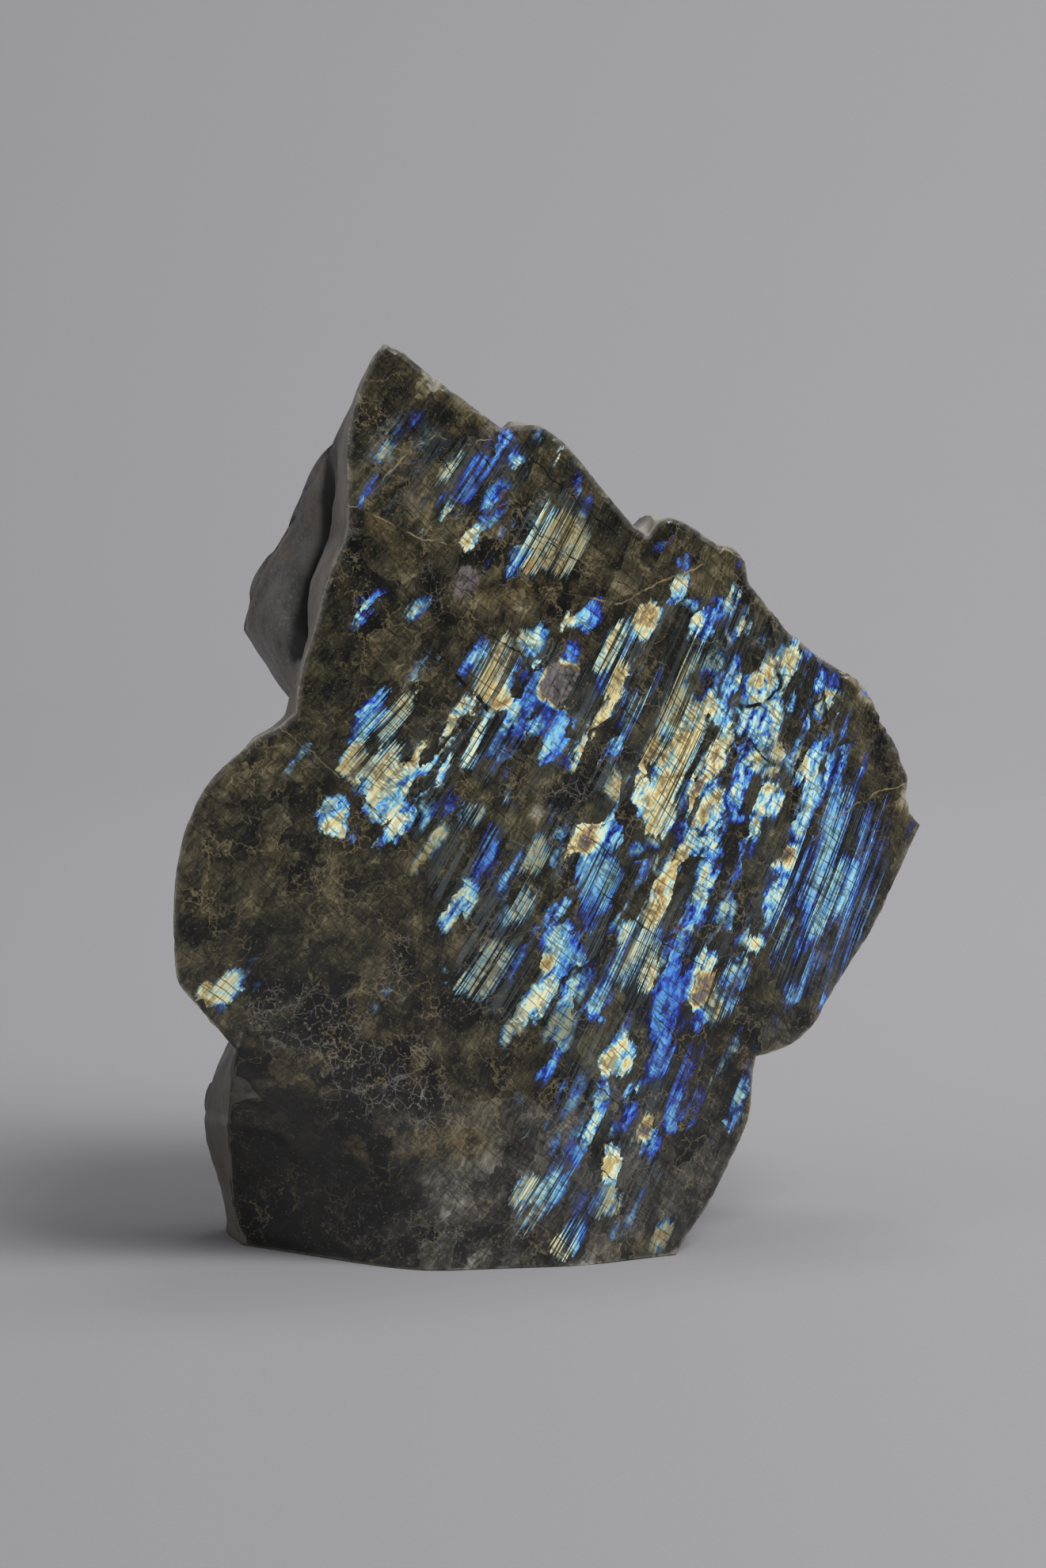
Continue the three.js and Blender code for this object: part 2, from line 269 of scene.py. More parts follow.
# What the polished face shows
# Twinned feldspar lamellae inside the stone flash where they lie right for the light. Each patch is
# given by its place to the right of the face's front corner and up from it, its length along the
# lamellae and its width, in millimetres, then its tone and how brightly it flashes. The tone goes
# from 0.1 navy over 0.2 royal blue, 0.35 azure, 0.5 cyan, 0.6 yellow-green, 0.75 gold and 0.88
# orange to 1 pink.
flashes = [
    # in the tip
    (5, 424, 22, 10, .15, .5), (-3, 421, 8, 4, .5, .5), (-10, 410, 16, 12, .48, .4),
    (-19, 389, 12, 5, .28, .7), (-12, 398, 8, 4, .3, .4), (4, 403, 8, 4, .2, .35),
    (23, 400, 18, 5, .72, .55), (18, 385, 14, 5, .3, .6), (38, 399, 24, 12, .24, .8),
    (32, 388, 18, 12, .2, .6), (43, 379, 24, 9, .34, 1), (37, 370, 10, 8, .5, 1),
    (32, 364, 15, 10, .66, 1), (21, 378, 15, 6, .5, .8), (9, 367, 15, 6, .5, .7),
    (49, 411, 14, 8, .42, .75), (56, 406, 10, 5, .3, .7),
    (60, 403, 8, 4, .66, .8), (66, 398, 9, 5, .42, .5), (70, 416, 8, 4, .45, .3),
    (82, 406, 9, 5, .5, .7), (87, 401, 9, 6, .35, .7), (91, 396, 9, 7, .18, .6),
    (92, 387, 7, 5, .32, .7), (96, 382, 8, 4, .22, .6), (64, 363, 34, 9, .46, .8),
    (72, 375, 18, 9, .6, .8), (80, 361, 34, 26, .7, .42), (64, 350, 9, 9, .86, .6),
    (66, 346, 8, 4, .4, .6), (43, 354, 12, 3, .22, .5), (50, 368, 12, 6, .35, .3),
    (106, 368, 6, 4, .2, .3),
    (135, 362, 10, 6, .2, .45), (173, 350, 6, 6, .3, .8), (143, 335, 14, 10, .58, .8),
    (146, 351, 5, 4, .35, .7),
    # left of the middle
    (5, 331, 15, 7, .58, .7), (2, 298, 20, 4, .45, .35), (9, 300, 16, 3, .6, .35), (-25, 326, 14, 7, .48, .8),
    (-16, 336, 4, 3, .25, .8), (-28, 335, 4, 3, .2, .6), (-16, 328, 4, 3, .3, .8),
    (-24, 277, 34, 14, .38, .95), (-10, 276, 40, 12, .66, .6), (-30, 257, 20, 16, .68, .6),
    (-16, 254, 30, 12, .7, .7), (-14, 240, 30, 20, .56, .8), (-25, 243, 12, 6, .3, .7),
    (-4, 248, 12, 5, .3, .8), (-5, 285, 26, 7, .85, .6), (-42, 228, 18, 16, .56, .9),
    (-38, 223, 12, 9, .82, .8), (-36, 218, 10, 6, .3, .7),
    (-9, 226, 32, 8, .5, 1), (-62, 257, 14, 4, .42, .4), (-54, 265, 20, 4, .36, .4),
    (-47, 273, 14, 4, .28, .45), (-49, 257, 12, 3, .4, .35), (-39, 266, 8, 4, .25, .7),
    (-45, 272, 8, 5, .2, .5), (2, 259, 18, 8, .85, .8), (10, 216, 16, 6, .55, .5),
    (1, 205, 18, 6, .66, .3), (7, 211, 18, 5, .6, .35), (17, 235, 16, 6, .2, .6), (33, 232, 26, 14, .45, .35),
    (17, 268, 34, 9, .8, .8), (25, 280, 18, 7, .56, .8), (31, 262, 30, 11, .6, .95),
    (9, 252, 18, 7, .38, .9), (16, 252, 20, 8, .55, .9), (27, 254, 12, 9, .56, .9),
    # in the middle
    (32, 305, 30, 9, .4, .95), (28, 300, 12, 5, .14, .7), (43, 301, 32, 13, .68, .6),
    (52, 293, 18, 8, .34, 1), (45, 286, 16, 14, .78, .85), (51, 275, 24, 7, .5, .85),
    (54, 268, 12, 5, .2, .8), (58, 313, 11, 7, .62, .7),
    (65, 313, 11, 6, .42, 1), (92, 325, 17, 9, .33, .95), (84, 322, 8, 6, .62, .9),
    (99, 323, 7, 5, .3, .9), (84, 306, 14, 9, .25, .9), (66, 299, 4, 4, .6, 1),
    (62, 286, 26, 11, .2, .85), (70, 280, 14, 8, .2, .8), (62, 272, 12, 8, .46, .9),
    (77, 291, 20, 17, 1, .7), (86, 296, 10, 8, .95, .6), (30, 343, 17, 16, 1, .6),
    (99, 291, 12, 7, .2, .8), (72, 262, 42, 10, .3, 1), (66, 255, 14, 8, .55, .9),
    (76, 247, 12, 8, .1, .7), (95, 266, 46, 6, .72, .9), (107, 292, 20, 6, .8, .8),
    (104, 306, 30, 12, .65, .75), (112, 312, 20, 8, .4, .9), (123, 322, 16, 12, .8, .8),
    (116, 280, 48, 12, .38, .8), (122, 287, 40, 5, .72, .9), (141, 285, 45, 12, .66, .45),
    (160, 303, 20, 8, .62, .35), (154, 290, 18, 8, .2, .8), (151, 320, 13, 8, .62, 1),
    (160, 320, 22, 8, .5, .9), (169, 331, 12, 6, .62, .7), (42, 262, 14, 6, .3, .5),
    (48, 250, 14, 6, .25, .5), (91, 248, 13, 4, .66, .7), (105, 240, 17, 6, .7, .5),
    (88, 213, 28, 14, .85, .95), (100, 215, 26, 14, .38, 1), (106, 220, 5, 4, .75, .9),
    (85, 200, 16, 12, .3, .9), (95, 190, 30, 24, .35, .75), (90, 180, 22, 12, .18, .8),
    (73, 178, 24, 12, .38, .8), (115, 205, 12, 10, .35, .6), (62, 205, 22, 12, .6, .35),
    (38, 205, 22, 8, .2, .75), (48, 198, 18, 5, .32, .7), (37, 216, 14, 10, .25, .7),
    (75, 215, 10, 8, .45, .4), (53, 180, 22, 12, .6, .5), (45, 175, 14, 6, .4, .5),
    (21, 182, 22, 10, .5, .8), (120, 232, 20, 16, .68, 1), (128, 222, 22, 12, .72, .8),
    (127, 185, 46, 14, .75, 1), (138, 212, 14, 8, .22, .9), (150, 215, 30, 14, .75, 1),
    (157, 228, 14, 8, .85, .9), (140, 255, 55, 14, .82, .85), (125, 257, 14, 6, .9, .8),
    (134, 266, 8, 6, .35, .9), (147, 266, 24, 5, .8, .9), (158, 250, 40, 11, .85, .95),
    (155, 236, 12, 8, .35, 1), (165, 270, 16, 10, .5, .9), (170, 232, 34, 9, .45, 1),
    (152, 188, 44, 12, .62, 1), (145, 172, 18, 14, .33, .95), (163, 172, 20, 14, .56, .75),
    (175, 178, 10, 6, .25, .5),
    # in the right lobe
    (180, 318, 12, 6, .75, .7), (186, 309, 12, 6, .6, .8), (172, 293, 16, 6, .5, .9),
    (188, 290, 20, 14, .78, .95), (182, 280, 8, 6, .98, .7), (200, 295, 22, 8, .72, .85),
    (213, 303, 10, 5, .28, .7), (216, 290, 13, 9, .4, .95), (226, 288, 8, 6, .15, .7),
    (223, 277, 11, 10, .75, .8), (205, 278, 13, 9, .55, .95), (184, 270, 34, 22, .48, .95),
    (210, 268, 6, 4, .45, .8), (231, 263, 5, 3, .3, .8), (190, 252, 20, 10, .85, .6),
    (181, 250, 14, 11, .7, .8), (205, 247, 12, 4, .6, .5), (188, 228, 14, 13, .75, 1),
    (209, 225, 46, 12, .4, 1), (212, 240, 8, 5, .72, .9), (202, 213, 8, 8, .9, .8),
    (218, 201, 75, 14, .36, .8), (238, 209, 30, 4, .34, .7), (262, 206, 14, 4, .2, .6),
    (224, 181, 38, 20, .36, .95), (213, 168, 32, 14, .38, .95), (230, 222, 44, 5, .36, .9),
    (207, 232, 46, 12, .48, 1), (219, 224, 60, 4, .38, .9), (200, 172, 50, 5, .38, .85),
    (240, 196, 44, 4, .36, .8), (248, 198, 30, 3, .3, .7), (196, 127, 18, 6, .4, .7), (214, 124, 10, 4, .36, .8),
    (192, 185, 45, 12, .5, 1), (190, 178, 14, 8, .75, .8), (177, 155, 11, 9, .72, 1),
    (193, 157, 20, 4, .62, .8), (205, 140, 40, 3, .36, .7), (213, 150, 45, 3, .36, .7),
    (221, 150, 45, 3, .36, .6), (229, 150, 40, 3, .36, .6), (236, 165, 40, 3, .36, .5),
    (243, 175, 30, 3, .36, .45), (179, 213, 10, 9, .75, .95), (172, 218, 8, 8, .28, .9),
    (170, 205, 20, 8, .3, .8), (178, 205, 20, 6, .28, .8), (188, 195, 6, 5, .68, .8),
    (196, 200, 8, 6, 1, .8),
    # below the middle
    (12, 150, 8, 6, .45, .3), (20, 143, 14, 9, .6, .7), (33, 148, 35, 18, .56, .35),
    (53, 155, 20, 5, .25, .6), (54, 130, 18, 8, .5, .8), (43, 116, 16, 9, .6, .5),
    (70, 165, 24, 16, .36, .9), (67, 151, 8, 7, .75, .8), (63, 136, 24, 9, .5, .9),
    (75, 150, 18, 10, .3, .9), (78, 138, 22, 12, .5, .8), (72, 118, 26, 18, .45, .25),
    (92, 130, 24, 12, .35, .9), (107, 165, 18, 12, .5, .8), (111, 152, 32, 11, .5, .65),
    (122, 145, 24, 9, .75, .9), (133, 157, 14, 10, .3, .9), (152, 148, 12, 8, .62, 1),
    (147, 135, 20, 12, .95, .8), (130, 128, 40, 22, .22, 1), (145, 118, 14, 10, .34, 1),
    (125, 100, 26, 12, .27, .95), (165, 135, 28, 15, .42, .7), (172, 145, 7, 6, .75, .9),
    (155, 125, 20, 10, .7, .5), (102, 102, 22, 18, .62, 1), (106, 84, 12, 7, .56, .8),
    (92, 84, 16, 8, .4, .8), (66, 103, 28, 9, .28, .9), (85, 68, 32, 6, .46, 1),
    (105, 72, 20, 9, .25, .9), (75, 55, 10, 7, .22, .8), (88, 57, 16, 5, .66, .9),
    (94, 48, 14, 9, .66, 1), (114, 63, 16, 8, .85, .8), (118, 57, 10, 5, .25, .8),
    (135, 75, 28, 16, .3, .8), (140, 95, 30, 14, .2, .6), (160, 95, 22, 8, .5, .35),
    (167, 101, 4, 4, .75, .8), (172, 112, 4, 4, .35, .9), (161, 67, 34, 5, .42, .7),
    (50, 38, 22, 12, .6, .8), (61, 38, 26, 12, .38, .85), (52, 24, 20, 8, .55, .6),
    (73, 15, 22, 12, .35, .95), (66, 8, 16, 12, .74, .9),
    (78, 30, 20, 12, .18, .35), (93, 28, 18, 13, .6, .5), (122, 12, 22, 10, .66, .35),
    (48, 84, 8, 7, .62, .2), (49, 68, 9, 7, .62, .3), (16, 74, 5, 4, .35, .5),
    # in the left lobe, the only ones away from the main field
    (-99, 147, 18, 14, .54, .75), (-91, 150, 12, 6, .38, .5), (-110, 145, 11, 10, .85, .8),
    (-103, 138, 9, 3, .25, .7),
    (-85, 147, 10, 6, .35, .25), (-87, 159, 5, 3, .6, .3), (-74, 160, 8, 4, .45, .2),
    (-62, 160, 10, 4, .5, .2), (-19, 141, 4, 3, .45, .25), (-9, 138, 5, 3, .45, .2),
    (-25, 133, 4, 3, .45, .2),
]
# Wide fields where smaller flashes fill the room between those
fields = [
    (150, 240, 190, 150, .45, .95), (110, 165, 130, 90, .42, .85), (222, 170, 130, 46, .38, .8),
    (100, 90, 120, 66, .38, .7), (0, 250, 70, 60, .5, .8), (60, 270, 100, 60, .45, .9),
    (90, 40, 60, 70, .4, .6), (40, 395, 60, 50, .4, .4), (75, 365, 60, 40, .5, .3), (0, 402, 60, 50, .5, .25),
    (45, 150, 60, 60, .5, .4), (30, 200, 60, 50, .45, .4),
]
# Dark rock between the flashes
gaps = [
    (82, 235, 20, 50), (118, 262, 46, 9), (128, 303, 50, 8), (88, 285, 26, 9), (200, 262, 20, 10),
    (210, 285, 26, 7), (196, 218, 46, 8), (165, 195, 46, 6), (110, 225, 12, 10), (60, 240, 26, 16),
    (130, 205, 26, 5), (108, 185, 36, 6), (78, 195, 30, 6), (180, 300, 16, 9), (30, 240, 14, 26),
    (4, 277, 26, 9), (23, 257, 22, 5), (40, 268, 26, 6), (-21, 263, 12, 4), (-1, 240, 16, 6),
    (8, 247, 30, 4),
]
# Places where no small flashes fill the room
quiet = [(-45, 110, 70, 90), (20, 110, 50, 50), (10, 345, 50, 60), (95, 340, 40, 60)]


def lean(right):
    """How steeply the lamellae rise, which grows towards the right lobe."""
    return 1.38 + 0.0046 * (np.clip(right, -60, 260) - 20)


lamella_angle = math.radians(61)
rightward, inward, upward = in_face.T
steps = np.linspace(-200, 300, 501)
rise = np.interp(rightward, steps, np.cumsum(lean(steps)))
lamella_place = np.stack([rightward * math.cos(lamella_angle) + upward * math.sin(lamella_angle),
                          inward, (upward - rise) * math.cos(lamella_angle)], 1)


def depth_inside(shapes, tilted=False):
    """How many millimetres every point lies inside each patch, below 0 outside it."""
    depths = []
    for right, up, long, wide, *rest in shapes:
        turn = math.radians(rest[0]) if tilted else math.atan(lean(right))
        x, y = rightward - right, upward - up
        along = np.abs(x * math.cos(turn) + y * math.sin(turn)) * 2 / long
        across = np.abs(y * math.cos(turn) - x * math.sin(turn)) * 2 / wide
        depths.append((1 - np.cbrt(along ** 3 + across ** 3)) * min(long, wide) / 2)
    return np.array(depths)


# Where lamellae flash one by one, as stripes
striped = [
    (77, 360, 46, 34, 1), (-15, 268, 50, 26, 1), (43, 298, 34, 20, 1), (104, 306, 40, 20, 1),
    (132, 285, 70, 34, 1), (112, 150, 56, 24, 1), (224, 180, 120, 60, 1), (165, 135, 40, 24, 1),
    (140, 95, 50, 30, 1), (66, 30, 50, 44, 1), (62, 200, 30, 20, 1), (36, 225, 40, 24, 1),
    (53, 178, 30, 16, 1), (95, 188, 36, 26, 1), (30, 262, 30, 16, 1), (140, 245, 60, 14, 1),
    (33, 395, 30, 20, 1), (5, 392, 30, 26, .8), (32, 155, 44, 24, .8),
]
# Kinds of rock round the flashes: the place, length, width and tilt, then how much lighter it is,
# how tan, and how far crackled by a fine pale net
rocks = [
    # The first two entries darken the lower-left facet: partly its dark rock, partly painted shade where the facet
    # turns away from the light
    (-62, 36, 90, 60, -20, -.5, 0, 0), (-50, 60, 100, 40, -20, -.25, .1, .1),
    (-24, 98, 60, 40, 15, -.3, 0, 1), (2, 82, 24, 22, 0, -.25, 0, 1), (-62, 130, 62, 34, -15, -.28, 0, .8),
    (-15, 20, 50, 26, -10, -.1, .1, .7), (25, 14, 50, 26, 0, -.1, 0, .5),
    (-8, 64, 66, 14, 0, .1, .8, .2), (-18, 117, 18, 9, -10, .15, 1, 0), (-56, 96, 16, 6, -30, .25, .9, 0),
    (-4, 105, 8, 30, 0, .05, .7, .3), (-90, 118, 14, 7, -20, .3, .8, 0), (-22, 25, 8, 16, 20, .4, 0, 0),
    (-30, 14, 10, 6, 0, .35, 0, 0), (28, 332, 18, 8, 0, .3, .1, .4),
    (64, 232, 16, 7, 70, .5, 0, .2), (27, 434, 60, 10, -38, .35, .1, 0), (-28, 365, 10, 26, 0, -.4, 0, .5),
    (12, 340, 10, 34, 15, -.4, 0, .6), (82, 236, 44, 12, 10, -.35, 0, .8), (5, 232, 14, 16, 0, -.35, 0, .5),
    (105, 255, 24, 12, 0, -.35, 0, .8), (62, 374, 14, 18, 0, -.25, 0, .6), (24, 130, 26, 18, 0, -.3, 0, .6),
    (-10, 157, 14, 26, 0, -.3, 0, .8), (-90, 200, 60, 80, 0, -.05, 0, 0), (-25, 300, 46, 36, 0, -.05, 0, 0),
    (5, 392, 34, 30, 60, .2, .1, 0), (-10, 366, 40, 16, -35, -.1, .5, 0), (60, 338, 70, 14, 5, 0, .5, .1),
    (12, 412, 70, 8, 20, .1, .4, 0), (255, 250, 36, 20, -60, -.35, 0, .4), (245, 215, 30, 20, 20, -.1, .3, 0),
    (238, 288, 30, 8, -52, .6, .6, .2), (259, 238, 40, 7, -78, .5, .5, .2), (150, 80, 40, 50, 60, 0, 0, 0),
    (155, 60, 60, 40, 60, .1, 0, 0), (100, 20, 40, 30, 60, .05, .1, 0), (110, 345, 60, 18, -30, .1, .2, 0),
    (140, 352, 40, 12, -20, .05, .3, .1), (20, 70, 40, 40, 0, .05, .2, .2),
    (40, 40, 150, 90, 0, .1, -.4, 0), (-30, 385, 40, 26, 62, .1, 0, 0), (-96, 98, 26, 40, 0, -.4, -.2, 0),
    (0, 425, 60, 30, 60, .08, 0, 0), (135, 45, 80, 60, 60, -.05, -.4, 0), (190, 113, 44, 22, -15, -.2, -.3, 0),
]
# Cracks and veins, as a half width, a paleness from 0 dark to 1 tan, and the points that they follow
veins = [
    (.3, 1, (-14, 392), (-3, 403), (8, 412), (18, 416), (30, 411), (44, 414)),
    (.3, 1, (-32, 384), (-14, 376), (4, 366), (22, 362)),
    (.4, 1, (96, 333), (110, 330), (130, 340), (150, 346), (168, 357), (176, 352)),
    (.3, 1, (212, 208), (228, 220), (245, 229), (262, 233)),
    (.15, .9, (-70, 275), (-52, 260), (-30, 240), (-12, 222)),
    (.1, .9, (50, 213), (66, 204), (84, 195)),
    (.1, .8, (24, 112), (44, 92), (62, 74), (82, 54)),
    (.3, 0, (-14, 440), (0, 425), (12, 412), (24, 398)), (.5, 0, (18, 283), (30, 272), (42, 262), (56, 252)),
    (.4, 0, (12, 440), (22, 428), (30, 418), (42, 404), (52, 390), (60, 378), (67, 369)),
    (.2, 0, (0, 415), (10, 405), (25, 392), (36, 380), (46, 370)), (.3, 0, (-20, 400), (-8, 388), (4, 375)),
    (.4, 0, (52, 415), (64, 406), (76, 395), (92, 380), (110, 365)), (.3, 0, (60, 372), (88, 352), (112, 340)),
    (1.2, 0, (24, 296), (38, 281), (52, 265), (58, 257)), (.4, 0, (38, 318), (55, 308), (66, 300), (76, 287)),
    (.3, 0, (98, 290), (108, 281), (120, 268)), (.4, 0, (84, 195), (105, 178), (128, 158), (148, 146)),
    (.3, 0, (80, 222), (100, 205), (118, 189)), (.2, 0, (20, 226), (44, 208), (66, 186), (84, 172)),
    (1, 0, (191, 318), (193, 300), (196, 286), (186, 278), (178, 276)), (.5, 0, (176, 262), (182, 254), (190, 246)),
    (.4, 0, (60, 118), (82, 95), (100, 78), (112, 68)), (.4, 0, (118, 127), (130, 113), (141, 99)),
    (.3, 0, (68, 70), (84, 51), (100, 35), (114, 24)), (.5, 0, (-36, 246), (-22, 232), (-14, 224)),
    (.3, 0, (-60, 352), (-30, 336), (-8, 318), (14, 304)), (.3, 0, (160, 215), (176, 204), (192, 190)),
    (.3, 0, (206, 186), (222, 174), (238, 166)), (.2, 0, (-100, 232), (-84, 214), (-70, 206), (-52, 190)),
]


def trails(lines):
    """Each point's offset from the nearest line, whether it is beside the line, and its width."""
    nearest = np.full(len(rightward), 99.0)
    best = np.zeros((3, len(rightward)))
    for half_width, paleness, *stops in lines:
        for (x0, y0), (x1, y1) in zip(stops, stops[1:]):
            long = math.hypot(x1 - x0, y1 - y0)
            dx, dy = (x1 - x0) / long, (y1 - y0) / long
            along = (rightward - x0) * dx + (upward - y0) * dy
            offset = (upward - y0) * dx - (rightward - x0) * dy
            beyond = np.maximum(np.maximum(-along, along - long), 0)
            away = np.hypot(offset, beyond)
            closer = away < nearest
            nearest[closer] = away[closer]
            best[:, closer] = np.stack([offset, np.clip(1 - beyond / 3, 0, 1) * half_width,
                                        np.full(len(offset), paleness)])[:, closer]
    return best


inside = depth_inside(flashes)
weight = np.clip(inside + 3, 0, 7) ** 3 + 1e-6 * (inside > -7)
weight *= np.array([[1 + 30 * (flash[4] == 1)] for flash in flashes])
field_inside = np.clip(depth_inside(fields) / 6, 0, 1)
weight = np.concatenate([weight, 0.5 * field_inside + 1e-12])
tone = (weight * np.array([[flash[4]] for flash in flashes + fields])).sum(0) / weight.sum(0)
glow = (weight * np.array([[flash[5]] for flash in flashes + fields])).sum(0) / weight.sum(0)
in_gap = np.clip(depth_inside(gaps).max(0) / 2.5 + 0.3, 0, 1)
in_quiet = np.clip(depth_inside(quiet).max(0) / 2.5 + 0.3, 0, 1)
crowded = np.clip(depth_inside([(158, 248, 130, 90)])[0] / 20 + 0.3, 0, 1)
cover = np.clip(inside.max(0), -6, 6) - 0.3 + 1.9 * crowded - 6 * in_gap
filler = 9 * field_inside.max(0) - 6.8 - 5 * np.maximum(in_gap, in_quiet)
striping = np.clip(depth_inside(striped).max(0) / 6 + 0.5, 0, 1)
rock_inside = np.clip(depth_inside(rocks, tilted=True) / 4 + 0.5, 0, 1)
rock = [np.sum(rock_inside * np.array([[r[kind]] for r in rocks]), 0) for kind in (5, 6, 7)]
for name, values in (("flash", (tone, glow, cover)), ("lamellae", lamella_place.T),
                     ("vein", trails(veins)), ("zones", (striping, in_crevice, from_rim)), ("rock", rock)):
    layer = stone.data.attributes.new(name, "FLOAT_VECTOR", "POINT")
    layer.data.foreach_set("vector", np.stack(values, 1).astype(np.float32).ravel())
layer = stone.data.attributes.new("filler", "FLOAT", "POINT")
layer.data.foreach_set("value", filler.astype(np.float32))

# Polished labradorite, a feldspar: dark and glassy, with the flashes, coloured reflections from its
# lamellae, painted into its colour. Every size below is in millimetres on the stone.
labradorite = new_material("polished_labradorite")
where = add(labradorite, "ShaderNodeTexCoord")
flat = add(labradorite, "ShaderNodeMapping", {
    "Vector": where.outputs["Object"], "Location": face_corner, "Rotation": face_turn,
    "Scale": (mm, mm, mm)}, vector_type="TEXTURE").outputs["Vector"]
lengthwise = add(labradorite, "ShaderNodeAttribute", attribute_name="lamellae").outputs["Vector"]


def resized(vector, size):
    """The place counted in steps of this size along each axis."""
    return add(labradorite, "ShaderNodeVectorMath", {0: vector, 1: [1 / s for s in size]},
               operation="MULTIPLY").outputs["Vector"]


def noise_of(vector, size, detail=2.0, roughness=0.55):
    """Noise whose lumps are about this long, deep and wide."""
    return add(labradorite, "ShaderNodeTexNoise", {
        "Vector": resized(vector, size), "Scale": 1, "Detail": detail, "Roughness": roughness})


def cell_edge(vector, size):
    """How far each point is from the edge of its cell, in the cells' own widths."""
    return add(labradorite, "ShaderNodeTexVoronoi", {"Vector": resized(vector, size), "Scale": 1},
               feature="DISTANCE_TO_EDGE").outputs["Distance"]


def sum_of(start, *terms):
    """start plus, for each (value, share), the value's difference from a half times the share."""
    for value, share in terms:
        shifted = add(labradorite, "ShaderNodeMath", {0: value, 1: share, 2: -share / 2},
                      operation="MULTIPLY_ADD")
        start = add(labradorite, "ShaderNodeMath", {0: start, 1: shifted.outputs[0]}).outputs[0]
    return start


def between(value, low, high):
    """0 below low, 1 above high and a soft step from one to the other."""
    return add(labradorite, "ShaderNodeMapRange", {"Value": value, "From Min": low, "From Max": high},
               interpolation_type="SMOOTHSTEP").outputs["Result"]


def blend(share, low, high):
    """From low to high by the share, for numbers."""
    return add(labradorite, "ShaderNodeMapRange", {"Value": share, "To Min": low, "To Max": high}
               ).outputs["Result"]


def calculated(operation, *values):
    return add(labradorite, "ShaderNodeMath", dict(enumerate(values)), operation=operation).outputs[0]


def product(*values):
    result = values[0]
    for value in values[1:]:
        result = calculated("MULTIPLY", result, value)
    return result


def mixed(share, low, high):
    return add(labradorite, "ShaderNodeMix", {"Factor": share, "A": low, "B": high},
               data_type="RGBA").outputs["Result"]


# The lamellae are straight, but what they fill is ragged
wide_bend = noise_of(flat, (110, 110, 110), detail=1).outputs["Color"]
bent = add(labradorite, "ShaderNodeVectorMath", {0: wide_bend, 1: (10, 10, 10), 2: lengthwise},
           operation="MULTIPLY_ADD").outputs["Vector"]
fine_bend = noise_of(flat, (7, 7, 7), detail=3).outputs["Color"]
ragged = add(labradorite, "ShaderNodeVectorMath", {0: fine_bend, 1: (6, 6, 6), 2: bent},
             operation="MULTIPLY_ADD").outputs["Vector"]
fine_stripes = noise_of(bent, (60, 40, 0.8), detail=1).outputs["Fac"]
broad_stripes = noise_of(bent, (90, 40, 3), detail=1).outputs["Fac"]
stripes = between(sum_of(fine_stripes, (broad_stripes, 0.8)), 0.38, 0.56)

# How deep inside a flash each point lies, in millimetres. The patches above keep their own shapes,
# and between them lie smaller crystals, of which about half flash.
flash_here = add(labradorite, "ShaderNodeAttribute", attribute_name="flash")
flash_here = add(labradorite, "ShaderNodeSeparateXYZ", {0: flash_here.outputs["Vector"]})
filler = add(labradorite, "ShaderNodeAttribute", attribute_name="filler").outputs["Fac"]
zones = add(labradorite, "ShaderNodeAttribute", attribute_name="zones")
zones = add(labradorite, "ShaderNodeSeparateXYZ", {0: zones.outputs["Vector"]})
striping = zones.outputs["X"]
lumps = noise_of(ragged, (12, 30, 5), detail=3).outputs["Fac"]
gap_noise = noise_of(flat, (14, 14, 14)).outputs["Fac"]
frayed = add(labradorite, "ShaderNodeVectorMath", {0: fine_bend, 1: (14, 14, 14), 2: bent},
             operation="MULTIPLY_ADD").outputs["Vector"]
shreds = noise_of(ragged, (5, 9, 1.5), detail=3, roughness=0.6).outputs["Fac"]
crystal_size = (26, 30, 8)
crystal = add(labradorite, "ShaderNodeTexVoronoi", {"Vector": resized(ragged, crystal_size), "Scale": 1})
crystal_shade = add(labradorite, "ShaderNodeSeparateColor", {0: crystal.outputs["Color"]})
ragged_edge = product(sum_of(0.0, (lumps, 5), (crystal_shade.outputs["Blue"], 5.5), (shreds, 5)),
                      blend(striping, 1, 0.4))
striped_edge = product(sum_of(0.0, (fine_stripes, 1)), blend(striping, 2, 11))
patch_depth = calculated("ADD", flash_here.outputs["Z"], calculated("ADD", ragged_edge, striped_edge))
sideways = add(labradorite, "ShaderNodeSeparateXYZ", {0: flat}).outputs["X"]
to_right = between(sideways, 90, 160)
channelled = product(to_right, between(sideways, 212, 200))
channels = calculated("MULTIPLY_ADD", cell_edge(frayed, (19, 20, 10)), 10,
                      calculated("MULTIPLY_ADD", gap_noise, -8, blend(channelled, 9, 4.4)))
patch_depth = calculated("SMOOTH_MIN", patch_depth, channels, 1.5)
lit = between(crystal_shade.outputs["Green"], 0.4, 0.5)
crystal_depth = calculated("MULTIPLY_ADD", cell_edge(ragged, crystal_size), 8,
                           calculated("MULTIPLY_ADD", lit, 8, -8.8))
filler_depth = calculated("MINIMUM", sum_of(filler, (lumps, 8)), crystal_depth)
depth = calculated("MAXIMUM", patch_depth, filler_depth)
drift = blend(striping, noise_of(ragged, (9, 20, 4), detail=3).outputs["Fac"],
              noise_of(bent, (26, 20, 2.2), detail=3).outputs["Fac"])
fleck = noise_of(ragged, (3, 9, 1.4), detail=2).outputs["Fac"]
rim_fall = product(between(depth, 3.4, -0.5), blend(to_right, 0.24, 0.34),
                   between(flash_here.outputs["X"], 1.0, 0.85))
tone_noise = sum_of(0.05, (drift, 1.5), (fleck, 0.7), (broad_stripes, 0.45),
                    (crystal_shade.outputs["Red"], 0.2))
